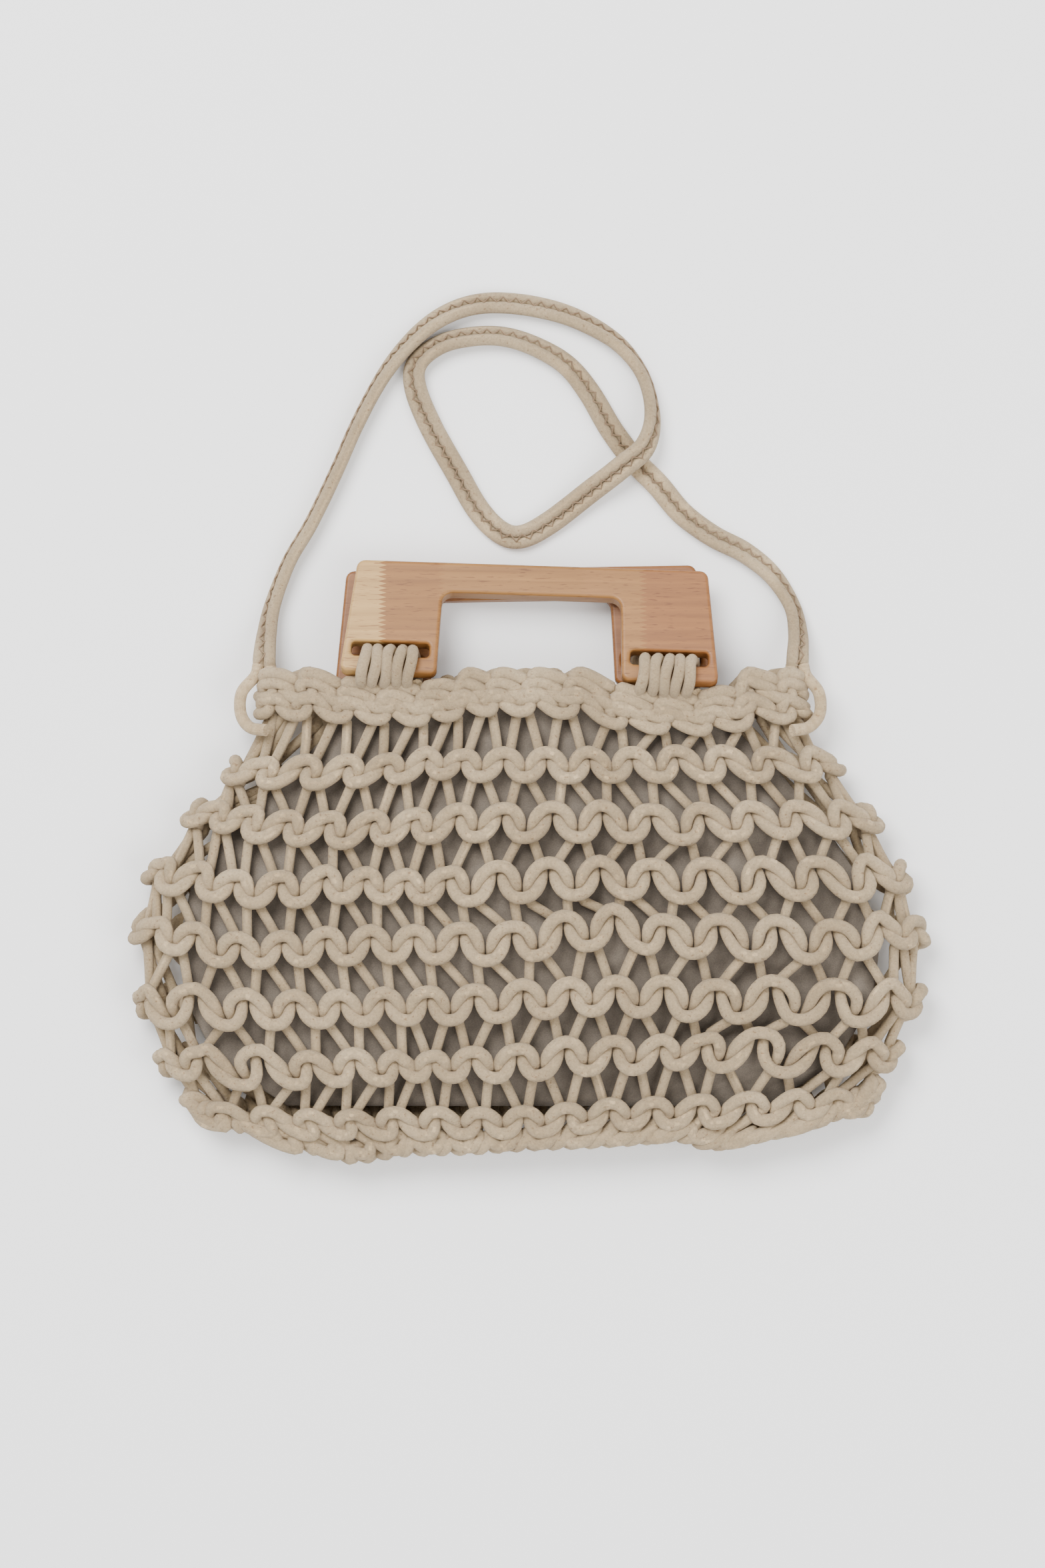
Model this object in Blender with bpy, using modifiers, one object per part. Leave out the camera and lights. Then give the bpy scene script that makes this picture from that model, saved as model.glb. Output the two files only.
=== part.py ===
"""Handbag of coarse knitted rope, lying on its back.

Two knitted rope panels meet at the sides and the hem and are open at the top. A thin cotton
lining hangs inside. Two wooden handles turn on their round lower bars in rope wraps, and a
cord strap lies in loops on the surface above the bag.

X is the bag's width, +Y points to the handles and +Z is the front. Lengths are in metres.
"""

import math
from collections import namedtuple

import bmesh
import bpy
from mathutils import Matrix, Vector

# Clearances
SEAT = 0.0003
RUNNING = 0.0006

# The knitted body
BAG_WIDTH = 0.3840
NET_LENGTH = 0.2345
HEM_Y = -0.1424
BAG_DEPTH = 0.0480
WALL = 0.0110
TIGHT_WALL = 0.0095
EDGE_WALL = 0.0090
LEG_WALL = 0.0062
LEG_SINK = 0.0020
RIDGE_HEIGHT = 0.0110
SCALLOP = 0.0050
SEAM_HEIGHT = 0.0160
CORD = 0.0058
FRONT_FULLNESS = 2.4
BACK_FLATNESS = 5.0
HEM_RISE = 2.0
SINK_FADE = 4.0

# The lattice of gaps between the knitted ridges
CELLS_ACROSS = 22
GAP_PINCH = 0.24
GAP_SWELL = 0.10

# The wooden handles
HANDLE_TOP_WIDTH = 0.1670
HANDLE_FOOT_WIDTH = 0.1800
HANDLE_REACH = 0.0530
HANDLE_THICKNESS = 0.0090
HANDLE_EDGE_ROUND = 0.0028
HANDLE_BEVEL_LIMIT = math.radians(50)
HANDLE_CORNER = 0.0060
FOOT_CORNER = 0.0037
GRIP_CORNER = 0.0054
GRIP_WIDTH = 0.0850
GRIP_FLARE = 0.0015
TOP_BAR = 0.0154
BAR_HEIGHT = 0.0080
SLOT_MARGIN = 0.00525
SLOT_CORNER = 0.0020
FRONT_YAW = math.radians(-1.9)
BACK_YAW = math.radians(1.0)
FRONT_AXIS_BELOW_CREST = 0.0022
BACK_AXIS_BELOW_CREST = 0.0053
BACK_AXIS_X = -0.0030

# The rope wraps that hold the lower bars
WRAP_CORD = 0.0054
WRAP_PLAY = 0.0005
WRAP_TURNS = 5
WRAP_GROOVE = 0.0013
WRAP_RIB_START = 0.28
WRAP_RIB_END = 0.72
WRAP_SIDES = 12

# The lining
LINING_WALL = 0.0012
LINING_GAP = 0.0008
LINING_SIDES = 24
LINING_FULLNESS = 0.5
# Each row is a ring of the lining: its height as a share of NET_LENGTH and its share of the
# net's width there.
LINING_RINGS = (
    (0.110, 0.700), (0.200, 0.830), (0.320, 0.860), (0.440, 0.870), (0.565, 0.860),
    (0.680, 0.830), (0.794, 0.780), (0.880, 0.700), (0.925, 0.690),
)

# The strap, two cords sewn side by side, as one round cord of the same section
STRAP_WIDTH = 0.0082

# The cord that holds each end of the strap to the band
LOOP_BELOW_CREST = 0.0140
LOOP_RISE = 0.0060
LOOP_REACH = 0.0130
LOOP_SLACK = 0.0024
LOOP_TURNS = (0.4, 1.4, 2.4)
LOOP_POINTS = 14

# Worked out from the sizes above
HALF_WIDTH = BAG_WIDTH / 2
CREST_Y = HEM_Y + NET_LENGTH
FRONT_AXIS_Y = CREST_Y - FRONT_AXIS_BELOW_CREST
BACK_AXIS_Y = CREST_Y - BACK_AXIS_BELOW_CREST
BAR_RADIUS = math.hypot(
    BAR_HEIGHT / 2 - HANDLE_EDGE_ROUND, HANDLE_THICKNESS / 2 - HANDLE_EDGE_ROUND
) + HANDLE_EDGE_ROUND
WRAP_INNER = BAR_RADIUS + WRAP_PLAY
WRAP_OUTER = WRAP_INNER + WRAP_CORD
SLOT_TOP = WRAP_OUTER + SEAT
SLOT_WIDTH = (HANDLE_FOOT_WIDTH - GRIP_WIDTH) / 2 - 2 * SLOT_MARGIN
WRAP_LENGTH = SLOT_WIDTH - 2 * SLOT_CORNER
BACK_AXIS_Z = WRAP_OUTER
FRONT_AXIS_Z = BACK_AXIS_Z + 2 * WRAP_OUTER + SEAT
FOOT_CENTRE = (GRIP_WIDTH / 2 + HANDLE_FOOT_WIDTH / 2) / 2

# Each row is a level of the body. along is a share of NET_LENGTH from the hem, half_width and
# shift are shares of HALF_WIDTH, and front is the front wall's middle as a share of BAG_DEPTH.
Level = namedtuple("Level", "name along half_width shift front")
HEM = Level("hem", 0.000, 0.650, -0.010, 0.430)
BOTTOM_BAND = Level("bottom band", 0.082, 0.842, 0.004, 0.600)
RIDGES = (
    Level("ridge 6", 0.197, 0.925, -0.007, 0.760),
    Level("ridge 5", 0.318, 0.988, 0.002, 0.850),
    Level("ridge 4", 0.442, 1.000, 0.000, 0.885),
    Level("ridge 3", 0.565, 0.965, -0.005, 0.870),
    Level("ridge 2", 0.680, 0.879, 0.003, 0.820),
    Level("ridge 1", 0.794, 0.769, 0.014, 0.750),
)
TOP_BAND = Level("top band", 0.888, 0.700, 0.010, FRONT_AXIS_Z / BAG_DEPTH)
BAND_CREST = Level("band crest", 1.000, 0.688, 0.005, FRONT_AXIS_Z / BAG_DEPTH)
LEVELS = (HEM, BOTTOM_BAND) + RIDGES + (TOP_BAND, BAND_CREST)
# From this ridge up the wraps lift the back off the surface.
BACK_LIFT_START = RIDGES[4]

# The band's top edge stands up between the feet and beyond them, and dips under the wraps.
CREST_INNER = 0.0240
CREST_OUTER = 0.1080
DIP_INNER = 0.0370
DIP_OUTER = 0.0960

# The strap's route, in millimetres: x, distance above the band's crest and height of its middle
STRAP_ROUTE = (
    (-126.5, 1.1, 16.0), (-126.4, 5.9, 16.0), (-125.6, 15.9, 10.0), (-123.0, 29.9, 4.6),
    (-115.0, 50.9, 4.2),
    (-104.0, 69.9, 4.2), (-92.0, 94.9, 4.2), (-82.0, 117.4, 4.2), (-71.0, 137.9, 4.2),
    (-59.5, 153.4, 4.2), (-46.0, 165.7, 4.2), (-31.0, 172.9, 4.2), (-14.5, 174.9, 4.2),
    (6.0, 172.4, 4.2), (24.5, 166.4, 4.2), (42.5, 155.4, 4.2), (54.5, 139.9, 4.2),
    (59.0, 120.9, 7.2), (55.5, 105.9, 12.6), (45.0, 96.4, 13.0), (28.0, 83.4, 7.0),
    (9.5, 69.4, 4.2), (-3.5, 62.9, 4.2), (-13.5, 64.9, 4.2), (-24.5, 75.9, 4.2),
    (-35.5, 94.9, 4.2), (-47.0, 115.4, 4.2), (-54.5, 133.9, 4.2), (-54.0, 145.4, 4.2),
    (-44.5, 153.9, 4.2), (-31.5, 158.1, 4.2), (-14.5, 158.9, 4.2), (2.0, 154.4, 4.2),
    (17.5, 145.4, 4.2), (28.5, 132.4, 4.2), (39.5, 113.9, 4.4), (50.8, 98.9, 4.2),
    (62.0, 87.4, 4.2), (73.5, 73.9, 4.2), (88.5, 62.9, 4.2), (103.5, 55.2, 4.2),
    (116.5, 44.4, 4.2), (126.0, 29.4, 4.8), (128.6, 15.9, 10.0), (128.2, 5.9, 16.0),
    (128.0, 1.1, 16.0),
)
STRAP_POINTS = 78

# Blender helpers


def clear_scene():
    for item in list(bpy.data.objects):
        bpy.data.objects.remove(item)


def collection(name):
    group = bpy.data.collections.new(name)
    bpy.context.scene.collection.children.link(group)
    return group


def material(name, colour, roughness):
    finish = bpy.data.materials.new(name)
    finish.use_nodes = True
    shader = finish.node_tree.nodes["Principled BSDF"]
    shader.inputs["Base Color"].default_value = (*colour, 1.0)
    shader.inputs["Roughness"].default_value = roughness
    shader.inputs["Metallic"].default_value = 0.0
    finish.diffuse_color = (*colour, 1.0)
    return finish


def add_object(name, data, group, finish):
    item = bpy.data.objects.new(name, data)
    group.objects.link(item)
    data.materials.append(finish)
    return item


def mesh_from(bm, name):
    mesh = bpy.data.meshes.new(name)
    bm.to_mesh(mesh)
    bm.free()
    return mesh


def smooth_step(value):
    value = min(max(value, 0.0), 1.0)
    return value * value * (3 - 2 * value)


def smooth_points(route, count):
    """Points evenly spaced on a smooth curve through the route."""
    ends = [route[0] * 2 - route[1]] + list(route) + [route[-1] * 2 - route[-2]]
    steps = 12
    fine = []
    for p0, p1, p2, p3 in zip(ends, ends[1:], ends[2:], ends[3:]):
        for step in range(steps):
            t = step / steps
            fine.append(0.5 * (2 * p1 + (p2 - p0) * t + (2 * p0 - 5 * p1 + 4 * p2 - p3) * t ** 2
                               + (3 * p1 - p0 - 3 * p2 + p3) * t ** 3))
    fine.append(route[-1])
    lengths = [0.0]
    for a, b in zip(fine, fine[1:]):
        lengths.append(lengths[-1] + (b - a).length)
    points = []
    index = 0
    for number in range(count):
        target = lengths[-1] * number / (count - 1)
        while index < len(fine) - 2 and lengths[index + 1] < target:
            index += 1
        span = lengths[index + 1] - lengths[index]
        share = (target - lengths[index]) / span if span else 0.0
        points.append(fine[index].lerp(fine[index + 1], min(share, 1.0)))
    return points


def tube(name, points, radius, resolution, group, finish):
    """A round cord along points, with closed ends."""
    curve = bpy.data.curves.new(name, "CURVE")
    curve.dimensions = "3D"
    curve.bevel_depth = radius
    curve.bevel_resolution = resolution
    curve.use_fill_caps = True
    spline = curve.splines.new("POLY")
    spline.points.add(len(points) - 1)
    for target, point in zip(spline.points, points):
        target.co = (*point, 1.0)
    spline.use_smooth = True
    return add_object(name, curve, group, finish)


# The body's form


def level_y(level):
    return HEM_Y + level.along * NET_LENGTH


def between_levels(y, column):
    """A column of the level table, blended at height y."""
    share = (y - HEM_Y) / NET_LENGTH
    if share <= LEVELS[0].along:
        return getattr(LEVELS[0], column)
    for low, high in zip(LEVELS, LEVELS[1:]):
        if share <= high.along:
            blend = (share - low.along) / (high.along - low.along)
            return getattr(low, column) * (1 - blend) + getattr(high, column) * blend
    return getattr(LEVELS[-1], column)


def half_width(y):
    return HALF_WIDTH * between_levels(y, "half_width")


def centre_x(y):
    return HALF_WIDTH * between_levels(y, "shift")


def front_crown(y):
    return BAG_DEPTH * between_levels(y, "front")


def back_floor(y):
    """Height of the back wall's middle: on the surface, and raised by the wraps at the top."""
    start = level_y(BACK_LIFT_START)
    rise = smooth_step((y - start) / (level_y(TOP_BAND) - start))
    return WALL / 2 * (1 - rise) + BACK_AXIS_Z * rise


def hem_share(y):
    """1 at the hem, falling to 0 at the bottom band's upper side."""
    return 1 - smooth_step((y - HEM_Y) / (level_y(RIDGES[0]) - HEM_Y))


def front_middle(u, y):
    edge = SEAM_HEIGHT + EDGE_WALL / 2 + SEAT
    crown = front_crown(y)
    return edge + (crown - edge) * (1 - abs(u) ** FRONT_FULLNESS)


def back_middle(u, y):
    edge = SEAM_HEIGHT - EDGE_WALL / 2 - SEAT
    flat = back_floor(y)
    hem = hem_share(y) ** HEM_RISE
    return max(flat, flat + (edge - flat) * max(abs(u) ** BACK_FLATNESS, hem))


# The knitted panels


def axis_y(x, axis_y0, yaw):
    return axis_y0 + x * math.tan(yaw)


def top_edge(x, axis_y0, yaw):
    """The band's upper edge, which dips under the wraps of both feet."""
    dip = axis_y(x, axis_y0, yaw) - WRAP_OUTER - SEAT
    away = abs(x)
    if away < DIP_INNER:
        share = smooth_step((DIP_INNER - away) / (DIP_INNER - CREST_INNER))
    else:
        share = smooth_step((away - DIP_OUTER) / (CREST_OUTER - DIP_OUTER))
    return dip + (CREST_Y - dip) * share


def panel_rows():
    """Heights of the lattice's lines, from the hem up: y, wall thickness and kind of line."""
    half_ridge = RIDGE_HEIGHT / 2
    rows = [(HEM_Y, EDGE_WALL, "hem")]
    low = level_y(BOTTOM_BAND)
    rows.append((low - half_ridge, WALL, "ridge"))
    rows.append((low + half_ridge, WALL, "gap foot"))
    for ridge in RIDGES:
        high = level_y(ridge)
        rows.append(((low + high) / 2, LEG_WALL, "gap middle"))
        rows.append((high - half_ridge, WALL, "gap head"))
        rows.append((high + half_ridge, WALL, "gap foot"))
        low = high
    band = level_y(TOP_BAND)
    rows[-1] = (rows[-1][0], WALL, "ridge")
    rows.append(((low + band) / 2, LEG_WALL, "legs"))
    rows.append((band - half_ridge, WALL, "ridge"))
    rows.append((band + half_ridge, TIGHT_WALL, "ridge"))
    rows.append((None, WALL, "top edge"))
    return rows


def is_gap(column, gap_row):
    """Ten gaps in each gap row, set half a step aside in every second row."""
    return 1 <= column <= CELLS_ACROSS - 2 and (column - 1) % 2 == gap_row % 2


def knitted_panel(name, middle, outward, axis_y0, yaw, group, finish):
    """A lattice of cord: ridges across it, legs between them and gaps cut right through."""
    rows = panel_rows()
    bm = bmesh.new()
    bmesh.ops.create_grid(bm, x_segments=CELLS_ACROSS, y_segments=len(rows) - 1, size=1.0)
    bm.verts.ensure_lookup_table()
    columns = CELLS_ACROSS + 1
    places = {}
    for vert in bm.verts:
        column = round((vert.co.x + 1) / 2 * CELLS_ACROSS)
        row = round((vert.co.y + 1) / 2 * (len(rows) - 1))
        places[vert] = (column, row)
    gap_rows = {}
    for row, (y, wall, kind) in enumerate(rows):
        if kind == "gap middle":
            gap_rows[row] = len(gap_rows)
    walls = {}
    for vert, (column, row) in places.items():
        y, wall, kind = rows[row]
        u = 2 * column / CELLS_ACROSS - 1
        u += lattice_shift(column, row, gap_rows, rows) * 2 / CELLS_ACROSS
        if kind == "top edge":
            x = centre_x(CREST_Y) + u * half_width(CREST_Y)
            y = top_edge(x, axis_y0, yaw)
        else:
            recess = SCALLOP if kind in ("gap middle", "legs") else 0.0
            x = centre_x(y) + u * (half_width(y) - recess)
        z = middle(u, y)
        if kind in ("gap middle", "legs"):
            z -= outward * LEG_SINK * (1 - abs(u) ** SINK_FADE)
        vert.co = (x, y, z)
        rim = column in (0, columns - 1) or kind == "hem"
        walls[vert] = min(wall, EDGE_WALL) if rim else wall
    gaps = []
    for face in bm.faces:
        spots = [places[vert] for vert in face.verts]
        column = min(spot[0] for spot in spots)
        for row, number in gap_rows.items():
            if row in {spot[1] for spot in spots} and is_gap(column, number):
                gaps.append(face)
    bmesh.ops.delete(bm, geom=gaps, context="FACES")
    if outward < 0:
        bmesh.ops.reverse_faces(bm, faces=bm.faces)
    bm.verts.index_update()
    order = [walls[vert] for vert in bm.verts]
    panel = add_object(name, mesh_from(bm, name), group, finish)
    thick = panel.vertex_groups.new(name="wall")
    for index, wall in enumerate(order):
        thick.add([index], wall / WALL, "REPLACE")
    solid = panel.modifiers.new("wall", "SOLIDIFY")
    solid.thickness = WALL
    solid.offset = 0.0
    solid.vertex_group = thick.name
    return panel


def lattice_shift(column, row, gap_rows, rows):
    """How far a lattice corner moves along its row, in cells, to round the gaps."""
    kind = rows[row][2]
    if kind == "gap middle":
        number = gap_rows[row]
        amount = GAP_SWELL
    elif kind == "gap foot" and row + 1 in gap_rows:
        number = gap_rows[row + 1]
        amount = -GAP_PINCH
    elif kind == "gap head":
        number = gap_rows[row - 1]
        amount = -GAP_PINCH
    else:
        return 0.0
    left_of_gap = is_gap(column, number)
    right_of_gap = is_gap(column - 1, number)
    return amount * (int(right_of_gap) - int(left_of_gap))


# The lining


def lining_ring(y, share):
    """One closed ring of the lining at height y, as wide as share of the net."""
    points = []
    for index in range(LINING_SIDES):
        angle = 2 * math.pi * index / LINING_SIDES
        across = math.cos(angle)
        u = share * across
        clear = WALL / 2 + LINING_GAP + LINING_WALL / 2
        low = back_middle(u, y) + clear
        high = front_middle(u, y) - clear
        middle = (low + high) / 2
        swing = math.copysign(abs(math.sin(angle)) ** LINING_FULLNESS, math.sin(angle))
        points.append((centre_x(y) + u * half_width(y), y, middle + swing * (high - low) / 2))
    return points


def lining(group, finish):
    """A thin pouch, closed at the foot and open at the mouth."""
    bm = bmesh.new()
    foot = bmesh.ops.create_circle(bm, cap_ends=True, radius=1.0, segments=LINING_SIDES)["verts"]
    ring = list(foot)
    edges = list(bm.edges)
    for number, (along, share) in enumerate(LINING_RINGS):
        if number:
            made = bmesh.ops.extrude_edge_only(bm, edges=edges)["geom"]
            edges = [item for item in made if isinstance(item, bmesh.types.BMEdge)
                     and all(end in made for end in item.verts)]
            ring = next_ring(ring, edges)
        for vert, point in zip(ring, lining_ring(HEM_Y + along * NET_LENGTH, share)):
            vert.co = point
    bmesh.ops.recalc_face_normals(bm, faces=bm.faces)
    pouch = add_object("lining", mesh_from(bm, "lining"), group, finish)
    solid = pouch.modifiers.new("cloth", "SOLIDIFY")
    solid.thickness = LINING_WALL
    solid.offset = 0.0
    return pouch


def next_ring(ring, edges):
    """The new ring's corners in the order of the ring that they were drawn from."""
    fresh = {vert for edge in edges for vert in edge.verts}
    ordered = []
    for vert in ring:
        for edge in vert.link_edges:
            other = edge.other_vert(vert)
            if other in fresh:
                ordered.append(other)
                break
    return ordered


# The handles


def rounded(corners, steps=3):
    """A closed outline whose corners are arcs. Each corner is x, y and its arc's radius."""
    points = []
    count = len(corners)
    for index, (x, y, arc) in enumerate(corners):
        corner = Vector((x, y))
        before = Vector(corners[index - 1][:2])
        after = Vector(corners[(index + 1) % count][:2])
        to_before = (before - corner).normalized()
        to_after = (after - corner).normalized()
        half = to_before.angle(to_after) / 2
        reach = arc / math.tan(half)
        centre = corner + (to_before + to_after).normalized() * (arc / math.sin(half))
        start = corner + to_before * reach - centre
        end = corner + to_after * reach - centre
        turn = start.angle_signed(end)
        for step in range(steps + 1):
            points.append(centre + Matrix.Rotation(-turn * step / steps, 2) @ start)
    return points


def flat_outline(curve, points):
    spline = curve.splines.new("POLY")
    spline.points.add(len(points) - 1)
    for target, point in zip(spline.points, points):
        target.co = (point.x, point.y, 0.0, 1.0)
    spline.use_cyclic_u = True


def handle(name, group, finish):
    """The wooden plate, its bar on the local X axis and its grip towards local +Y."""
    top_half = HANDLE_TOP_WIDTH / 2
    foot_half = HANDLE_FOOT_WIDTH / 2
    grip_half = GRIP_WIDTH / 2
    foot = -BAR_HEIGHT / 2
    grip_top = HANDLE_REACH - TOP_BAR
    curve = bpy.data.curves.new("handle outline", "CURVE")
    curve.dimensions = "2D"
    curve.fill_mode = "BOTH"
    curve.extrude = HANDLE_THICKNESS / 2
    flare_half = grip_half + GRIP_FLARE
    flat_outline(curve, rounded((
        (-foot_half, foot, FOOT_CORNER), (-top_half, HANDLE_REACH, HANDLE_CORNER),
        (top_half, HANDLE_REACH, HANDLE_CORNER), (foot_half, foot, FOOT_CORNER),
        (flare_half, foot, FOOT_CORNER), (grip_half, grip_top, GRIP_CORNER),
        (-grip_half, grip_top, GRIP_CORNER), (-flare_half, foot, FOOT_CORNER),
    )))
    low = BAR_HEIGHT / 2
    for side in (-1, 1):
        left = side * FOOT_CENTRE - SLOT_WIDTH / 2
        right = side * FOOT_CENTRE + SLOT_WIDTH / 2
        flat_outline(curve, rounded([
            (x, y, SLOT_CORNER)
            for x, y in ((left, low), (right, low), (right, SLOT_TOP), (left, SLOT_TOP))
        ]))
    plate = add_object(name, curve, group, finish)
    weld = plate.modifiers.new("weld", "WELD")
    weld.merge_threshold = 0.00005
    rounding = plate.modifiers.new("rounding", "BEVEL")
    rounding.width = HANDLE_EDGE_ROUND
    rounding.segments = 2
    rounding.limit_method = "ANGLE"
    rounding.angle_limit = HANDLE_BEVEL_LIMIT
    rounding.use_clamp_overlap = False
    return plate


def handle_tilts():
    """How far each handle leans back to rest: the back one on the surface, the front on it."""
    half = HANDLE_THICKNESS / 2
    back = math.asin((BACK_AXIS_Z - half - SEAT) / HANDLE_REACH)
    back_top = BACK_AXIS_Z - HANDLE_REACH * math.sin(back)
    rest = back_top + HANDLE_THICKNESS + RUNNING
    front = math.asin((FRONT_AXIS_Z - rest) / HANDLE_REACH)
    return front, back


def place(item, x, y, z, yaw, tilt):
    item.matrix_world = (Matrix.Translation((x, y, z)) @ Matrix.Rotation(yaw, 4, "Z")
                         @ Matrix.Rotation(-tilt, 4, "X"))


# The wraps


def wrap_mesh(name):
    """Turns of rope side by side round a bar, as a grooved sleeve on the local X axis."""
    pitch = WRAP_LENGTH / WRAP_TURNS
    start = -WRAP_LENGTH / 2
    profile = [(start, WRAP_INNER)]
    profile.append((start, WRAP_OUTER - WRAP_CORD / 2))
    for turn in range(WRAP_TURNS):
        left = start + turn * pitch
        if turn:
            profile.append((left, WRAP_OUTER - WRAP_GROOVE))
        profile.append((left + pitch * WRAP_RIB_START, WRAP_OUTER))
        profile.append((left + pitch * WRAP_RIB_END, WRAP_OUTER))
    profile.append((-start, WRAP_OUTER - WRAP_CORD / 2))
    profile.append((-start, WRAP_INNER))
    bm = bmesh.new()
    verts = [bm.verts.new((x, radius, 0.0)) for x, radius in profile]
    for a, b in zip(verts, verts[1:] + verts[:1]):
        bm.edges.new((a, b))
    return mesh_from(bm, name)


def wrap(name, group, finish):
    item = add_object(name, wrap_mesh(name), group, finish)
    turn = item.modifiers.new("turn", "SCREW")
    turn.axis = "X"
    turn.steps = WRAP_SIDES
    turn.render_steps = WRAP_SIDES
    turn.use_merge_vertices = True
    turn.merge_threshold = 0.00005
    turn.use_normal_flip = True
    return item


# The strap


def strap_loop(side, group, finish):
    """Cord that comes up round the end of the band and lies on its front face."""
    y = level_y(BAND_CREST) - LOOP_BELOW_CREST
    edge = centre_x(y) + side * half_width(y)
    radius = CORD / 2
    beside = edge + side * (radius + LOOP_SLACK)
    over = SEAM_HEIGHT + EDGE_WALL
    route = [Vector((beside, y + LOOP_RISE, radius + SEAT)), Vector((beside, y, SEAM_HEIGHT)),
             Vector((beside, y, over))]
    for number, turn in enumerate(LOOP_TURNS):
        inset = turn * LOOP_REACH / 2
        height = front_middle(1 - inset / half_width(y), y) + WALL / 2 + radius + LOOP_SLACK
        route.append(Vector((edge - side * inset, y - LOOP_RISE * (number + 1) / 2, height)))
    name = "left_strap_loop" if side < 0 else "right_strap_loop"
    return tube(name, smooth_points(route, LOOP_POINTS), radius, 1, group, finish)


def strap(group, finish):
    route = [Vector((x, y, z)) / 1000 + Vector((0, CREST_Y, 0)) for x, y, z in STRAP_ROUTE]
    return tube("strap", smooth_points(route, STRAP_POINTS), STRAP_WIDTH / 2, 2, group, finish)


def main():
    clear_scene()
    parts = collection("rope_handbag")
    rope = material("beige cotton rope", (0.58, 0.50, 0.39), 0.92)
    cloth = material("grey cotton lining", (0.33, 0.29, 0.26), 0.95)
    wood = material("pale hardwood", (0.62, 0.43, 0.25), 0.48)
    knitted_panel("front_panel", front_middle, 1, FRONT_AXIS_Y, FRONT_YAW, parts, rope)
    knitted_panel("back_panel", back_middle, -1, BACK_AXIS_Y, BACK_YAW, parts, rope)
    lining(parts, cloth)
    front_tilt, back_tilt = handle_tilts()
    for name, x, y, z, yaw, tilt in (
        ("front_handle", 0.0, FRONT_AXIS_Y, FRONT_AXIS_Z, FRONT_YAW, front_tilt),
        ("back_handle", BACK_AXIS_X, BACK_AXIS_Y, BACK_AXIS_Z, BACK_YAW, back_tilt),
    ):
        plate = handle(name, parts, wood)
        place(plate, x, y, z, yaw, tilt)
        for side, word in ((-1, "left"), (1, "right")):
            turns = wrap(name.replace("handle", word + "_wrap"), parts, rope)
            place(turns, x, y, z, yaw, 0.0)
            turns.matrix_world = turns.matrix_world @ Matrix.Translation((side * FOOT_CENTRE, 0, 0))
    for side in (-1, 1):
        strap_loop(side, parts, rope)
    strap(parts, rope)


main()
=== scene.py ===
"""A handbag knitted from coarse rope, lying on its back on a pale surface, seen from above.

Lengths are in metres unless a name or comment says millimetres.
"""

import math
import random

import bmesh
import bpy
from mathutils import Matrix, Vector, noise


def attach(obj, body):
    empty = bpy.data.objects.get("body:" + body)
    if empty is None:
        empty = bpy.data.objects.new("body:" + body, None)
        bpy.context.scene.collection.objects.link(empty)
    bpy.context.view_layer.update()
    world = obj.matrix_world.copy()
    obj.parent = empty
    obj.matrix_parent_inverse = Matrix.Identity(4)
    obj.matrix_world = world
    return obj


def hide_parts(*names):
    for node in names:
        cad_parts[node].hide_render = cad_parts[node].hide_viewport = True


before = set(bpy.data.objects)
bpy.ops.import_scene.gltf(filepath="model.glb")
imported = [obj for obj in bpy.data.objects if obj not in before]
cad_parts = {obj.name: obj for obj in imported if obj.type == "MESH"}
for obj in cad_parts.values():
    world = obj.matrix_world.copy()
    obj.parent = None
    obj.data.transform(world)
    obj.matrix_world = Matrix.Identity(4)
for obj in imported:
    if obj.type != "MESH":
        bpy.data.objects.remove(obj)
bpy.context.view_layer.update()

MM = 0.001

# Camera, straight above

camera_data = bpy.data.cameras.new("camera")
camera_data.sensor_fit = "VERTICAL"
camera_data.sensor_width = 24
camera_data.sensor_height = 24
camera_data.lens = 95.7
camera_data.clip_end = 50
camera = bpy.data.objects.new("camera", camera_data)
camera.location = (-0.0032, 0.0365, 3.0)
bpy.context.scene.collection.objects.link(camera)
bpy.context.scene.camera = camera


# Curves and tables


def smooth_step(value):
    value = min(max(value, 0.0), 1.0)
    return value * value * (3 - 2 * value)


def between(table, place):
    """A table's row at place, without its first column, which holds the rows' places."""
    if place <= table[0][0]:
        return table[0][1:]
    for low, high in zip(table, table[1:]):
        if place <= high[0]:
            blend = (place - low[0]) / (high[0] - low[0])
            return tuple(a * (1 - blend) + b * blend for a, b in zip(low[1:], high[1:]))
    return table[-1][1:]


def spaced(route, steps):
    """A smooth curve through the route, with steps points from each corner to the next."""
    ends = [route[0] * 2 - route[1]] + list(route) + [route[-1] * 2 - route[-2]]
    fine = []
    for p0, p1, p2, p3 in zip(ends, ends[1:], ends[2:], ends[3:]):
        for step in range(steps):
            t = step / steps
            fine.append(0.5 * (2 * p1 + (p2 - p0) * t + (2 * p0 - 5 * p1 + 4 * p2 - p3) * t ** 2
                               + (3 * p1 - p0 - 3 * p2 + p3) * t ** 3))
    fine.append(route[-1])
    return fine


def mesh_of(curve):
    """The mesh that a curve makes."""
    maker = bpy.data.objects.new(curve.name, curve)
    bpy.context.scene.collection.objects.link(maker)
    bpy.context.view_layer.update()
    graph = bpy.context.evaluated_depsgraph_get()
    mesh = bpy.data.meshes.new_from_object(maker.evaluated_get(graph))
    bpy.data.objects.remove(maker)
    return mesh


def added(name, mesh, finish):
    """A new piece in the scene, made of one finish."""
    mesh.materials.clear()
    mesh.materials.append(finish)
    item = bpy.data.objects.new(name, mesh)
    bpy.context.scene.collection.objects.link(item)
    return item


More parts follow.
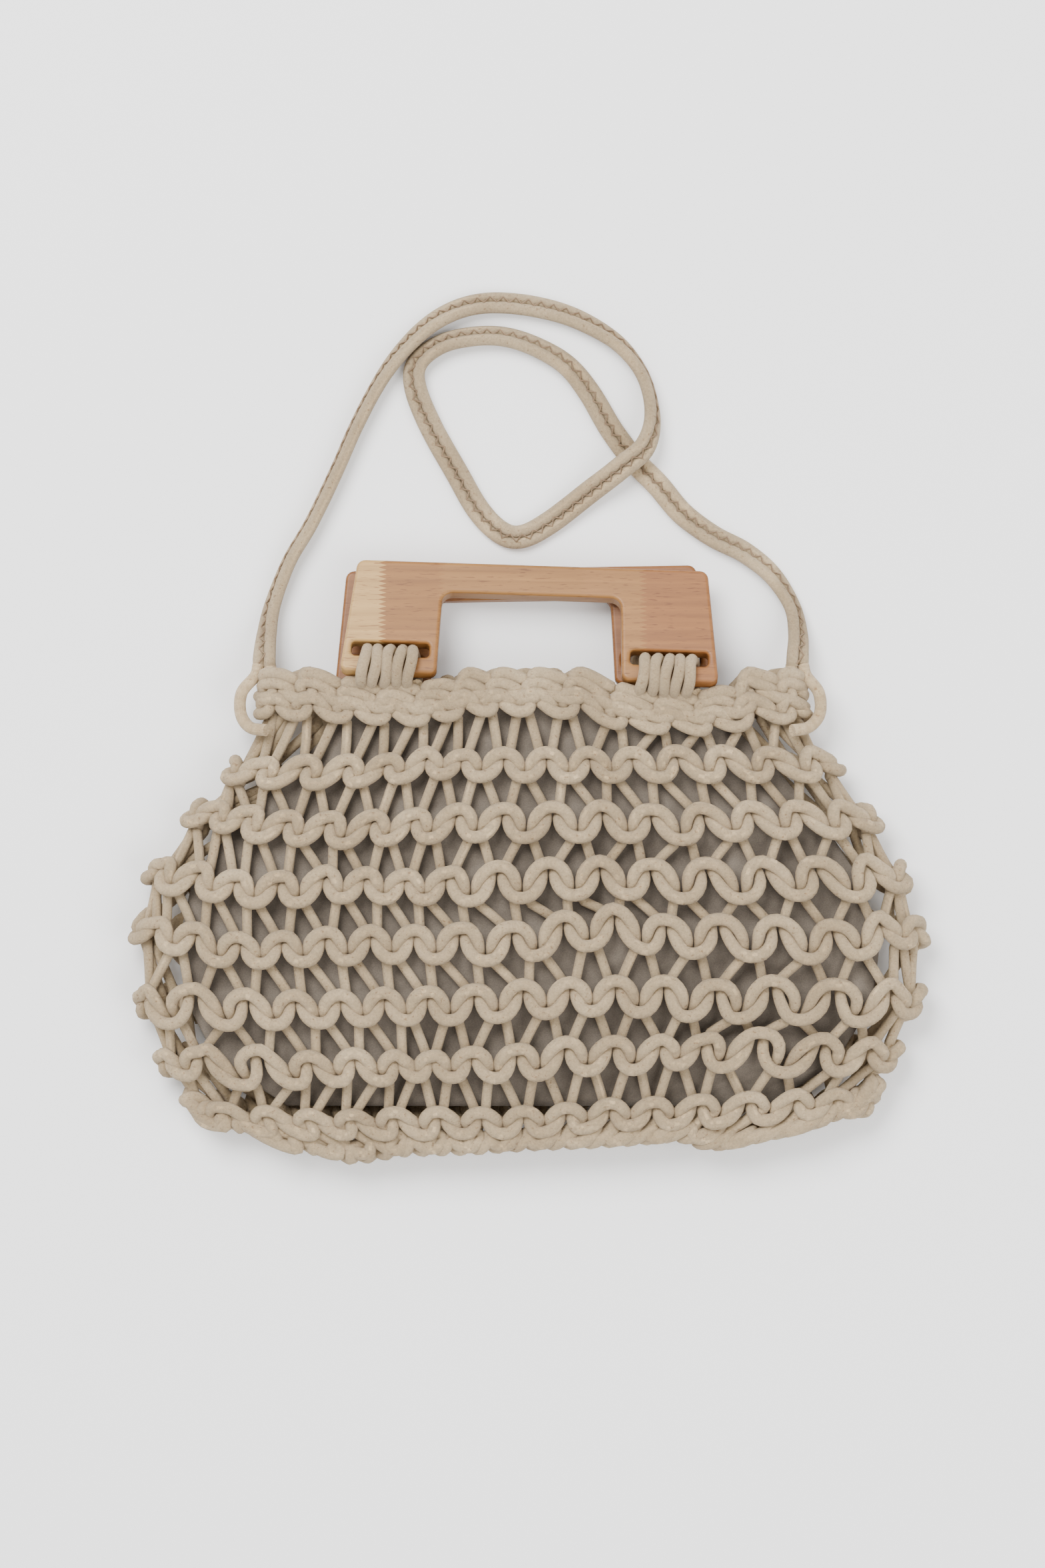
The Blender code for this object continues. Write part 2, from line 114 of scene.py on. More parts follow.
def one_rope(run, radius, sides):
    """The mesh of one round cord, whose UV runs round it in turns and along it in metres."""
    curve = bpy.data.curves.new("rope", "CURVE")
    curve.dimensions = "3D"
    curve.bevel_depth = radius
    curve.bevel_resolution = sides // 2 - 2
    curve.use_fill_caps = True
    spline = curve.splines.new("POLY")
    spline.points.add(len(run) - 1)
    length = 0.0
    last = None
    for target, point in zip(spline.points, run):
        target.co = (point[0], point[1], point[2], 1.0)
        target.radius = point[3]
        here = Vector(point[:3])
        if last is not None:
            length += (here - last).length
        last = here
    spline.use_smooth = True
    mesh = mesh_of(curve)
    for corner in mesh.uv_layers[0].data:
        corner.uv.y *= length
    return mesh


def rope_mesh(name, runs, radius, sides, finish):
    """One mesh of round cords. Each run is a list of 4D points: x, y, z and a share of radius."""
    bm = bmesh.new()
    for run in runs:
        part = one_rope(run, radius, sides)
        bm.from_mesh(part)
        bpy.data.meshes.remove(part)
    mesh = bpy.data.meshes.new(name)
    bm.to_mesh(mesh)
    bm.free()
    return added(name, mesh, finish)


# Materials


def blank(name, roughness):
    """A new material, its nodes and its shader."""
    finish = bpy.data.materials.new(name)
    finish.use_nodes = True
    tree = finish.node_tree
    shader = tree.nodes["Principled BSDF"]
    shader.inputs["Roughness"].default_value = roughness
    return finish, tree, shader


def colour(red, green, blue):
    """Linear colour of an sRGB triple from 0 to 255."""
    out = []
    for value in (red, green, blue):
        share = value / 255
        out.append(share / 12.92 if share <= 0.04045 else ((share + 0.055) / 1.055) ** 2.4)
    return (*out, 1.0)


def plug(tree, value, socket):
    """Give a socket a fixed value, or another node's output."""
    if hasattr(value, "is_linked"):
        tree.links.new(value, socket)
    else:
        socket.default_value = value


def node(tree, kind, **inputs):
    made = tree.nodes.new(kind)
    for name, value in inputs.items():
        plug(tree, value, made.inputs[name.replace("_", " ")])
    return made


def reckon(tree, operation, *values):
    """The result of a sum on values and outputs."""
    made = tree.nodes.new("ShaderNodeMath")
    made.operation = operation
    for value, socket in zip(values, made.inputs):
        plug(tree, value, socket)
    return made.outputs["Value"]


def ramp(tree, source, stops, steps="LINEAR"):
    """Colours that follow source. Each stop is a place from 0 to 1 and its colour."""
    made = tree.nodes.new("ShaderNodeValToRGB")
    made.color_ramp.interpolation = steps
    while len(made.color_ramp.elements) < len(stops):
        made.color_ramp.elements.new(0.5)
    for element, (place, shade) in zip(made.color_ramp.elements, stops):
        element.position = place
        element.color = shade
    tree.links.new(source, made.inputs["Fac"])
    return made.outputs["Color"]


def mixed(tree, share, first, second, blend="MIX"):
    """Two colours, blended by share."""
    made = tree.nodes.new("ShaderNodeMix")
    made.data_type = "RGBA"
    made.blend_type = blend
    for value, number in ((share, 0), (first, 6), (second, 7)):
        plug(tree, value, made.inputs[number])
    return made.outputs[2]


# Yarns round a rope each way, the length along it from one crossing to the next but one, and
# how loosely they run.
BRAID_YARNS, BRAID_PITCH, BRAID_LOOSENESS = 5, 0.0030, 5.0


def braid_pattern():
    """A node group: how high the fine braid stands at a place on a rope, from 0 to 1."""
    group = bpy.data.node_groups.new("fine braid", "ShaderNodeTree")
    group.interface.new_socket("Height", in_out="OUTPUT", socket_type="NodeSocketFloat")
    place = group.nodes.new("ShaderNodeTexCoord")
    split = node(group, "ShaderNodeSeparateXYZ", Vector=place.outputs["UV"])
    wobble = node(group, "ShaderNodeTexNoise", Vector=place.outputs["Object"], Scale=300.0,
                  Detail=2.0)
    sines = []
    for way in (1, -1):
        turns = reckon(group, "MULTIPLY", split.outputs["X"], way * BRAID_YARNS * 2 * math.pi)
        along = reckon(group, "MULTIPLY_ADD", split.outputs["Y"], 2 * math.pi / BRAID_PITCH,
                       turns)
        loose = reckon(group, "MULTIPLY_ADD", wobble.outputs["Fac"], BRAID_LOOSENESS, along)
        sines.append(reckon(group, "SINE", loose))
    height = reckon(group, "MULTIPLY_ADD", reckon(group, "MULTIPLY", *sines), 0.5, 0.5)
    out = group.nodes.new("NodeGroupOutput")
    group.links.new(height, out.inputs["Height"])
    return group


fine_braid = braid_pattern()
BLACK, WHITE = (0, 0, 0, 1), (1, 1, 1, 1)


def rope_finish(name, tint):
    """Matt cotton: a soft change of tone, a fine braid with painted shade in its valleys, fuzz
    and small brown flecks.
    """
    finish, tree, shader = blank(name, 0.95)
    place = tree.nodes.new("ShaderNodeTexCoord").outputs["Object"]
    tone = node(tree, "ShaderNodeTexNoise", Vector=place, Scale=38.0, Detail=3.0, Roughness=0.5)
    darker, lighter = [c - 10 for c in tint], [c + 8 for c in tint]
    base = ramp(tree, tone.outputs["Fac"], ((0.30, colour(*darker)), (0.70, colour(*lighter))))
    braid = tree.nodes.new("ShaderNodeGroup")
    braid.node_tree = fine_braid
    # The braid's low places are painted darker: painted shade in the valleys between its yarns.
    braid_valley_shade = ramp(tree, braid.outputs["Height"], (
        (0.15, (0.84, 0.81, 0.77, 1)), (0.62, (1.03, 1.03, 1.03, 1))))
    fuzz = node(tree, "ShaderNodeTexNoise", Vector=place, Scale=900.0, Detail=4.0,
                Roughness=0.75)
    streaks = ramp(tree, fuzz.outputs["Fac"], (
        (0.36, (0.82, 0.79, 0.75, 1)), (0.62, (1.07, 1.07, 1.07, 1))))
    flecks = node(tree, "ShaderNodeTexNoise", Vector=place, Scale=620.0, Detail=2.0,
                  Roughness=0.6)
    spots = ramp(tree, flecks.outputs["Fac"], ((0.63, BLACK), (0.70, WHITE)))
    # The random tone and fuzz streaks, times the braid's painted valley shade.
    tone_with_painted_shade = mixed(tree, 1.0, mixed(tree, 1.0, base, braid_valley_shade, "MULTIPLY"), streaks, "MULTIPLY")
    fleck_tone = mixed(tree, 1.0, tone_with_painted_shade, (0.66, 0.56, 0.46, 1), "MULTIPLY")
    tree.links.new(mixed(tree, spots, tone_with_painted_shade, fleck_tone), shader.inputs["Base Color"])
    high = node(tree, "ShaderNodeBump", Strength=0.6, Distance=0.0006,
                Height=braid.outputs["Height"])
    bump = node(tree, "ShaderNodeBump", Strength=0.5, Distance=0.0006,
                Height=fuzz.outputs["Fac"], Normal=high.outputs["Normal"])
    tree.links.new(bump.outputs["Normal"], shader.inputs["Normal"])
    shader.inputs["Sheen Weight"].default_value = 0.15
    shader.inputs["Sheen Roughness"].default_value = 0.6
    return finish


rope = rope_finish("beige cotton rope", (183, 161, 126))
thread = rope_finish("brown sewing thread", (150, 122, 90))


def lining_finish():
    """Thin woven cotton with uneven grey patches, its tones painted darker as painted shade for
    the shadow it lies in behind the ropes.
    """
    finish, tree, shader = blank("grey cotton lining", 0.92)
    place = tree.nodes.new("ShaderNodeTexCoord").outputs["Object"]
    tone = node(tree, "ShaderNodeTexNoise", Vector=place, Scale=45.0, Detail=4.0,
                Roughness=0.55)
    # Light greige cloth given darker tones than its own: painted shade for the shadow behind the
    # ropes, in random uneven patches.
    base = ramp(tree, tone.outputs["Fac"], (
        (0.30, colour(90, 81, 71)), (0.70, colour(126, 116, 104))))
    weave = node(tree, "ShaderNodeTexNoise", Vector=place, Scale=1800.0, Detail=1.0,
                 Roughness=0.5)
    cloth = ramp(tree, weave.outputs["Fac"], (
        (0.35, (0.86, 0.86, 0.86, 1)), (0.65, (1.06, 1.06, 1.06, 1))))
    tree.links.new(mixed(tree, 1.0, base, cloth, "MULTIPLY"), shader.inputs["Base Color"])
    bump = node(tree, "ShaderNodeBump", Strength=0.3, Distance=0.0003,
                Height=weave.outputs["Fac"])
    tree.links.new(bump.outputs["Normal"], shader.inputs["Normal"])
    return finish


lining_cotton = lining_finish()


# The joints between a handle's blocks of wood are fingers, cut along the grain: half their pitch,
# and their length in half pitches. The blocks reach this far from the middle, in millimetres.
FINGER_HALF, FINGER_SLOPE = 0.0011, 3.6
BLOCKS_REACH = 100


def wood_finish(name, blocks):
    """Hardwood blocks joined end to end. Each is its left end in millimetres and its colour."""
    finish, tree, shader = blank(name, 0.5)
    place = tree.nodes.new("ShaderNodeTexCoord").outputs["Object"]
    split = node(tree, "ShaderNodeSeparateXYZ", Vector=place)
    stretch = node(tree, "ShaderNodeMapping", Vector=place, Scale=(9.0, 260.0, 260.0))
    grain = node(tree, "ShaderNodeTexNoise", Vector=stretch.outputs["Vector"], Scale=1.0,
                 Detail=6.0, Roughness=0.62, Distortion=0.4)
    fingers = reckon(tree, "PINGPONG", split.outputs["Y"], FINGER_HALF)
    across = reckon(tree, "MULTIPLY_ADD", fingers, FINGER_SLOPE, split.outputs["X"])
    span = node(tree, "ShaderNodeMapRange", Value=across, From_Min=-BLOCKS_REACH * MM,
                From_Max=BLOCKS_REACH * MM)
    wood = ramp(tree, span.outputs["Result"],
                [((left + BLOCKS_REACH) / (2 * BLOCKS_REACH), colour(*tone))
                 for left, tone in blocks], "CONSTANT")
    tone = ramp(tree, grain.outputs["Fac"], (
        (0.25, (0.66, 0.58, 0.50, 1)), (0.75, (1.08, 1.06, 1.02, 1))))
    base = mixed(tree, 1.0, wood, tone, "MULTIPLY")
    pores = node(tree, "ShaderNodeMapping", Vector=place, Scale=(160.0, 1500.0, 1500.0))
    dots = node(tree, "ShaderNodeTexNoise", Vector=pores.outputs["Vector"], Scale=1.0,
                Detail=1.0)
    marks = ramp(tree, dots.outputs["Fac"], ((0.62, BLACK), (0.72, WHITE)))
    pore_tone = mixed(tree, 1.0, base, (0.62, 0.52, 0.45, 1), "MULTIPLY")
    tree.links.new(mixed(tree, marks, base, pore_tone), shader.inputs["Base Color"])
    bump = node(tree, "ShaderNodeBump", Strength=0.25, Distance=0.0002,
                Height=grain.outputs["Fac"])
    tree.links.new(bump.outputs["Normal"], shader.inputs["Normal"])
    return finish


front_wood = wood_finish("front handle wood", (
    (-100, (182, 147, 92)), (-68, (139, 95, 45)), (-40, (144, 102, 51)),
    (28, (147, 104, 54)), (56, (137, 89, 43))))
back_wood = wood_finish("back handle wood", (
    (-100, (133, 86, 42)), (-30, (142, 97, 49)), (40, (133, 85, 42))))

# The strap: two cords sewn side by side. Route and height in millimetres, and roll in degrees,
# where 0 lies flat and 90 stands on edge.

CORD = 0.0058
CORD_OVERLAP, STRAP_CLEARANCE = 0.0001, 0.0003
UNEVENNESS, UNEVEN_PER_METRE = 0.03, 90
THREAD_RADIUS, THREAD_PITCH, THREAD_SWAY, THREAD_HEIGHT = 0.00045, 0.0030, 0.0017, 0.00268
STRAP_ROUTE = (
    (-126.5, 93.2, 16.0, 20), (-126.4, 98.0, 16.0, 25), (-125.6, 108.0, 10.0, 45),
    (-123.0, 122.0, 4.6, 65), (-115.0, 143.0, 4.2, 75), (-104.0, 162.0, 4.2, 75),
    (-92.0, 187.0, 4.2, 75), (-82.0, 209.5, 4.2, 75), (-71.0, 230.0, 4.2, 72),
    (-59.5, 245.5, 4.2, 60), (-46.0, 257.8, 4.2, 50), (-31.0, 265.0, 4.2, 40),
    (-14.5, 267.0, 4.2, 35), (6.0, 264.5, 4.2, 35), (24.5, 258.5, 4.2, 45),
    (42.5, 247.5, 4.2, 65), (54.5, 232.0, 4.2, 80), (59.0, 213.0, 7.2, 70),
    (55.5, 198.0, 12.6, 35), (45.0, 188.5, 13.0, 12), (28.0, 175.5, 7.0, 10),
    (9.5, 161.5, 4.2, 10), (-3.5, 155.0, 4.2, 12), (-13.5, 157.0, 4.2, 12),
    (-24.5, 168.0, 4.2, 10), (-35.5, 187.0, 4.2, 8), (-47.0, 207.5, 4.2, 12),
    (-54.5, 226.0, 4.2, 25), (-54.0, 237.5, 4.2, 35), (-44.5, 246.0, 4.2, 45),
    (-31.5, 250.2, 4.2, 45), (-14.5, 251.0, 4.2, 45), (2.0, 246.5, 4.2, 42),
    (17.5, 237.5, 4.2, 35), (28.5, 224.5, 4.2, 22), (39.5, 206.0, 4.4, 8),
    (50.8, 191.0, 4.2, 5), (62.0, 179.5, 4.2, 8), (73.5, 166.0, 4.2, 14),
    (88.5, 155.0, 4.2, 26), (103.5, 147.3, 4.2, 35), (116.5, 136.5, 4.2, 50),
    (126.0, 121.5, 4.8, 62), (128.6, 108.0, 10.0, 45), (128.2, 98.0, 16.0, 28),
    (128.0, 93.2, 16.0, 22),
)
FLAT_HEIGHT = 4.2


def strap_points():
    """The strap's middle line and its roll, closely spaced."""
    corners = [Vector((x, y, z, roll)) for x, y, z, roll in STRAP_ROUTE]
    points = []
    for x, y, z, roll in spaced(corners, 8):
        roll = math.radians(roll)
        half = CORD / 2
        rest = half + STRAP_CLEARANCE + (half - CORD_OVERLAP) * abs(math.sin(roll))
        points.append((Vector((x, y, 0)) * MM + Vector((0, 0, rest + (z - FLAT_HEIGHT) * MM)),
                       roll))
    return points


def strap_frames():
    """Middle, sideways direction and upward direction along the strap."""
    points = strap_points()
    frames = []
    for index, (point, roll) in enumerate(points):
        before = points[max(index - 1, 0)][0]
        after = points[min(index + 1, len(points) - 1)][0]
        ahead = (after - before).normalized()
        side = ahead.cross(Vector((0, 0, 1))).normalized()
        lift = side.cross(ahead).normalized()
        frames.append((point, side * math.cos(roll) + lift * math.sin(roll),
                       lift * math.cos(roll) - side * math.sin(roll)))
    return frames


frames = strap_frames()
strap_path = [point for point, side, lift in frames]
half_gap = CORD / 2 - CORD_OVERLAP
strap_runs = []
for way in (-1, 1):
    run = []
    for point, side, lift in frames:
        uneven = noise.noise(point * UNEVEN_PER_METRE + Vector((way, 0, 0)))
        swell = 1 + UNEVENNESS * uneven
        run.append((*(point + side * way * half_gap), swell))
    strap_runs.append(run)
strap = rope_mesh("strap_cords", strap_runs, CORD / 2, 14, rope)


lengths = [0.0]
for one, two in zip(strap_path, strap_path[1:]):
    lengths.append(lengths[-1] + (two - one).length)


def zigzag(face):
    """The thread that zigzags over the join of the two cords, on the upper or lower face."""
    run = []
    total = lengths[-1]
    count = int(total / THREAD_PITCH)
    index = 0
    for number in range(count):
        target = total * (number + 0.5) / count
        while index < len(lengths) - 2 and lengths[index + 1] < target:
            index += 1
        share = (target - lengths[index]) / (lengths[index + 1] - lengths[index])
        point, side, lift = [one.lerp(two, share)
                             for one, two in zip(frames[index], frames[index + 1])]
        way = 1 if number % 2 else -1
        run.append((*(point + side * way * THREAD_SWAY + lift * face * THREAD_HEIGHT), 1.0))
    return run


strap_thread = rope_mesh("strap_stitching", [zigzag(1), zigzag(-1)], THREAD_RADIUS, 6, thread)
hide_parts("strap")
for piece in (strap, strap_thread):
    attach(piece, "bag")

# The body's form

BAG_HALF = 0.192
HEM_Y = -0.1424
NET_LENGTH = 0.2345
DEPTH = 0.048
SEAM_HEIGHT = 0.0160
INSET = 0.0058
# Each row: share of the net's length from the hem, half width and sideways shift as shares of
# half the bag's width, and height of the front wall's middle as a share of the depth.
LEVELS = (
    (0.000, 0.650, -0.010, 0.430), (0.082, 0.842, 0.004, 0.600), (0.197, 0.925, -0.007, 0.760),
    (0.318, 0.988, 0.002, 0.850), (0.442, 1.000, 0.000, 0.885), (0.565, 0.965, -0.005, 0.870),
    (0.680, 0.879, 0.003, 0.820), (0.794, 0.769, 0.014, 0.750), (0.888, 0.700, 0.010, 0.680),
    (1.000, 0.688, 0.005, 0.680),
)
# How boxy the walls are across the bag, and the height of the back wall's middle at the hem, in
# the net and in the band. From the hem it sinks over a share of the net, and towards the band
# it rises over another.
FRONT_BOXINESS, BACK_BOXINESS = 2.4, 4
HEM_HEIGHT, NET_HEIGHT, BAND_HEIGHT = 0.0105, 0.0061, 0.0108
SINK_SPAN, RISE_START, RISE_SPAN = 0.197, 0.680, 0.208
FRAME_STEP = 0.004
# The middles of the handles' lower bars
FRONT_AXIS = (0.0, 0.0899, 0.03264)
BACK_AXIS = (-0.003, 0.0868, 0.01078)
FRONT_YAW = math.radians(-1.9)
BACK_YAW = math.radians(1.0)


def level_at(y):
    """The columns of LEVELS at height y."""
    return between(LEVELS, (y - HEM_Y) / NET_LENGTH)


def body_point(t, y):
    """The wall's middle. t runs once round the bag: 0 at the left side, 1 at the right side
    by way of the front, and 2 at the left again by way of the back."""
    t = t % 2
    wide, shift, front = level_at(y)
    u = -math.cos(math.pi * t)
    x = BAG_HALF * shift + u * (BAG_HALF * wide - INSET)
    if t <= 1:
        rise = (1 - min(abs(u), 1) ** FRONT_BOXINESS) ** 0.5
        z = SEAM_HEIGHT + (front * DEPTH - SEAM_HEIGHT) * rise
    else:
        lifted = smooth_step(((y - HEM_Y) / NET_LENGTH - RISE_START) / RISE_SPAN)
        floor = NET_HEIGHT * (1 - lifted) + BAND_HEIGHT * lifted
        hem = (1 - smooth_step((y - HEM_Y) / (SINK_SPAN * NET_LENGTH))) ** 2
        floor = floor + (HEM_HEIGHT - floor) * hem
        rise = (1 - min(abs(u), 1) ** BACK_BOXINESS) ** 0.5
        z = SEAM_HEIGHT - (SEAM_HEIGHT - floor) * rise
    return Vector((x, y, z))


def on_body(t, y, lift):
    """A point that stands off the wall's middle, outwards by lift."""
    across = body_point(t + FRAME_STEP, y) - body_point(t - FRAME_STEP, y)
    up = body_point(t, y + FRAME_STEP) - body_point(t, y - FRAME_STEP)
    return body_point(t, y) + across.cross(up).normalized() * lift


# Where the stitches lie on the front, in millimetres: the head of each column and the middle
# height of its ridge there, from the left edge to the right one.

HEADS = {
    "A": ((-137.3, 73.0), (-133.1, 73.0), (-119.7, 73.2), (-102.1, 73.5), (-82.9, 73.9),
          (-65.3, 74.2), (-46.7, 74.6), (-31.0, 74.9), (-14.7, 75.2), (2.9, 75.5), (24.3, 74.8),
          (46.7, 74.1), (65.9, 73.5), (85.1, 72.9), (105.9, 72.3), (125.1, 71.7)),
    "R1": ((-150.1, 41.6), (-141.4, 41.6), (-126.1, 41.6), (-106.2, 41.6), (-86.4, 41.6),
           (-68.2, 42.6), (-49.3, 45.4), (-32.6, 45.4), (-12.2, 45.4), (8.3, 45.1),
           (29.1, 44.9), (49.3, 45.0), (71.4, 45.2), (94.1, 45.4), (116.5, 45.1),
           (137.9, 44.8)),
    "R2": ((-166.1, 20.8), (-151.7, 20.8), (-135.7, 18.2), (-114.6, 15.0), (-95.7, 14.6),
           (-74.2, 14.6), (-55.7, 16.2), (-35.2, 17.8), (-13.4, 18.2), (10.9, 18.0),
           (34.9, 18.2), (57.9, 17.4), (83.5, 17.0), (106.9, 18.9), (129.9, 19.1),
           (152.3, 18.6)),
    "R3": ((-177.3, -6.4), (-158.1, -9.6), (-139.5, -13.4), (-118.7, -14.4), (-97.3, -11.8),
           (-78.1, -12.0), (-58.9, -12.2), (-39.7, -12.2), (-15.7, -10.2), (9.0, -9.3),
           (33.9, -8.3), (57.9, -8.9), (85.1, -9.6), (113.3, -9.3), (137.9, -9.0),
           (165.1, -8.6)),
    "R4": ((-177.3, -33.6), (-158.1, -38.4), (-136.6, -43.2), (-117.1, -41.9),
           (-96.6, -40.3), (-74.9, -39.4), (-54.7, -39.2), (-33.3, -39.0), (-8.3, -38.7),
           (16.3, -34.2), (41.0, -30.7), (65.3, -35.8), (89.9, -35.5), (118.7, -37.1),
           (144.3, -38.4), (168.3, -34.6)),
    "R5": ((-182.1, -68.2), (-157.4, -68.6), (-133.1, -70.7), (-110.7, -70.2),
           (-89.3, -69.8), (-68.5, -69.1), (-48.3, -68.5), (-26.2, -67.2), (-2.9, -65.6),
           (19.2, -64.0), (40.6, -63.4), (63.4, -64.0), (87.7, -66.2), (113.9, -65.0),
           (143.7, -67.2), (171.5, -67.2)),
    "R6": ((-172.5, -96.0), (-154.9, -96.2), (-126.1, -98.2), (-103.7, -98.6),
           (-82.9, -96.6), (-62.1, -97.6), (-46.7, -96.6), (-27.5, -95.4), (-6.1, -95.4),
           (16.3, -92.2), (38.7, -91.5), (61.1, -90.6), (79.4, -89.6), (104.3, -89.0),
           (136.3, -92.8), (158.7, -92.8)),
    "BB": ((-158.1, -116.8), (-142.1, -122.2), (-122.9, -123.5), (-103.7, -124.8),
           (-84.5, -124.5), (-63.7, -124.2), (-42.9, -123.8), (-23.0, -123.5),
           (-2.9, -123.2), (17.3, -121.6), (37.8, -120.0), (57.9, -119.2), (78.7, -118.4),
           (101.1, -117.3), (123.5, -116.1), (141.1, -115.2)),
}
# Stitches lift this far off the wall's middle, forwards and back.
STITCH_LIFT = 0.0029
STITCH_RADIUS = 0.0030
# Heads lie at least LEAST_APART from each other, and SIDE_STEP takes the row past its last head
# to the bag's side. A back row sways up and down by BACK_SWAY.
LEAST_APART, SIDE_STEP, BACK_SWAY = 0.0152, 0.0165, 0.0012
FRONT_COLUMNS, BACK_COLUMNS = 18, 15
# The band's edge dips below the handle's axis where a foot hangs in it, between these distances
# from the handle's middle.
FRONT_DIP, BACK_DIP = 0.0052, 0.0111
DIP_NEAR, DIP_FULL, DIP_FAR, DIP_FADE = 0.040, 0.041, 0.092, 0.010


def top_edge(x, front):
    """The band's upper edge, which dips under the wraps of both feet."""
    axis, yaw, below = ((FRONT_AXIS, FRONT_YAW, FRONT_DIP) if front
                        else (BACK_AXIS, BACK_YAW, BACK_DIP))
    dip = axis[1] + (x - axis[0]) * math.tan(yaw) - below
    crest = HEM_Y + NET_LENGTH
    away = abs(x - axis[0])
    if away < DIP_NEAR:
        share = smooth_step((DIP_FULL - away) / DIP_FADE)
    else:
        share = smooth_step((away - DIP_FAR) / DIP_FADE)
    return dip + (crest - dip) * share


def arc_table(y):
    """Arc length round the bag at height y, from t = -1 to 3."""
    table = [(-1.0, 0.0)]
    last = body_point(-1.0, y)
    steps = 480
    for index in range(1, steps + 1):
        t = -1.0 + 4.0 * index / steps
        point = body_point(t, y)
        table.append((t, table[-1][1] + (point - last).length))
        last = point
    return table


def look_up(table, value, source, target):
    """The target column where the source column, which rises, has the value."""
    low, high = 0, len(table) - 1
    while high - low > 1:
        middle = (low + high) // 2
        if table[middle][source] <= value:
            low = middle
        else:
            high = middle
    a, b = table[low], table[high]
    share = (value - a[source]) / (b[source] - a[source])
    return a[target] + share * (b[target] - a[target])


def ring_of(heads):
    """t and y of every column's head round the bag: one at the left side, the front's, one at
    the right side and the back's."""
    mean = sum(y for x, y in heads) / len(heads) * MM
    table = arc_table(mean)
    wide, shift, front = level_at(mean)
    reach = BAG_HALF * wide - INSET
    arcs = []
    for x, y in heads:
        u = (x * MM - BAG_HALF * shift) / reach
        t = math.acos(-min(max(u, -0.9999), 0.9999)) / math.pi
        arcs.append(look_up(table, t, 0, 1))
    middle = len(arcs) // 2
    for index in range(middle - 1, -1, -1):
        arcs[index] = min(arcs[index], arcs[index + 1] - LEAST_APART)
    for index in range(middle + 1, len(arcs)):
        arcs[index] = max(arcs[index], arcs[index - 1] + LEAST_APART)
    arcs = [arcs[0] - SIDE_STEP] + arcs + [arcs[-1] + SIDE_STEP]
    whole = look_up(table, 1.0, 0, 1) - look_up(table, -1.0, 0, 1)
    left = whole - (arcs[-1] - arcs[0])
    ys = [heads[0][1]] + [y for x, y in heads] + [heads[-1][1]]
    ring = [(look_up(table, arc, 1, 0), y * MM) for arc, y in zip(arcs, ys)]
    for index in range(1, BACK_COLUMNS + 1):
        share = index / (BACK_COLUMNS + 1)
        arc = arcs[-1] + left * share
        y = (heads[-1][1] * (1 - share) + heads[0][1] * share) * MM
        y += BACK_SWAY * noise.noise(Vector((index * 0.7, mean * 90, 0.5)))
        once_round = arc > table[-1][1]
        t = look_up(table, arc - whole, 1, 0) + 2 if once_round else look_up(table, arc, 1, 0)
        ring.append((t, y))
    return ring


# The bottom edge on the photograph's side, in millimetres, from left to right
HEM_LINE = ((-160, -116), (-148, -127), (-132, -136), (-110, -143), (-92, -141.5), (-75, -139),
            (-30, -138), (2, -136), (34, -135), (60, -133.5), (80, -131.5), (104, -136.5),
            (117, -135), (135, -129), (149, -121), (160, -110))


HEM_RIDGE_ABOVE, HEM_CHAIN_ABOVE = 0.0062, 0.0034
# The band's two upper ridges: how far each lies below the band's edge in millimetres, and how
# far round the bag it is shifted. Ridge A stays LEAST_BELOW under the lower one.
BAND_RIDGES = (("B", 11.2, 0.008), ("C", 6.4, 0.016))
LEAST_BELOW = 0.0050
BAND_Y = 0.088


def hem_y(x):
    """The bottom edge's height at x."""
    return between(HEM_LINE, x / MM)[0] * MM


def rings():
    """Every ridge's ring, from the hem up."""
    made = {name: ring_of(heads) for name, heads in HEADS.items()}
    made["HEM"] = [(t, hem_y(body_point(t, y).x) + HEM_RIDGE_ABOVE) for t, y in made["BB"]]
    for name, below, aside in BAND_RIDGES:
        made[name] = []
        for t, y in made["A"]:
            edge = top_edge(body_point(t, BAND_Y).x, (t % 2) <= 1)
            made[name].append((t + aside, edge - below * MM))
    made["A"] = [(t, min(y, upper[1] - LEAST_BELOW))
                 for (t, y), upper in zip(made["A"], made["B"])]
    return made


# A stitch's half, from the bottom of its lower bend to the middle of its head. Each row: the
# ridge it is measured from, share of the way to the next column, rise in half heights, how far
# forward (1) or back (-1) it lies, and its thickness.
STITCH = (
    ("low", 0.50, -1.00, 1.00, 1.02), ("low", 0.31, -0.84, 1.00, 1.02),
    ("low", 0.175, -0.32, 0.75, 1.00), ("low", 0.12, 0.28, -0.10, 0.92),
    ("low", 0.13, 0.95, -1.00, 0.80), ("high", 0.34, -1.30, -1.00, 0.80),
    ("high", 0.385, -0.85, -1.00, 0.82), ("high", 0.38, -0.22, 0.05, 0.95),
    ("high", 0.33, 0.36, 0.80, 1.02), ("high", 0.19, 0.86, 1.00, 1.02),
    ("high", 0.00, 1.03, 1.00, 1.02),
)
SHORT_STITCH = STITCH[:4] + STITCH[7:]
# Half a ridge's height as a share of its stitch's width, and how far its bends lean over.
RIDGE_SHAPE = {
    "HEM": (0.20, 0.0), "BB": (0.26, 0.0), "R6": (0.30, 0.0), "R5": (0.315, 0.0),
    "R4": (0.32, 0.0), "R3": (0.31, 0.0), "R2": (0.30, 0.0), "R1": (0.28, 0.0),
    "A": (0.245, 0.12), "B": (0.21, 0.18), "C": (0.17, 0.22),
}
LEAST_HALF, MOST_HALF = 0.0034, 0.0088
# Ridges nearer to each other than this have no legs between them.
LEAST_LEG = 0.004
# How much one stitch is taller or lower than the next
UNEVEN_STITCHES = 0.07


def ring_at(ring, index):
    """A column's head, where index may run on round the bag."""
    t, y = ring[index % len(ring)]
    return t + 2.0 * (index // len(ring)), y


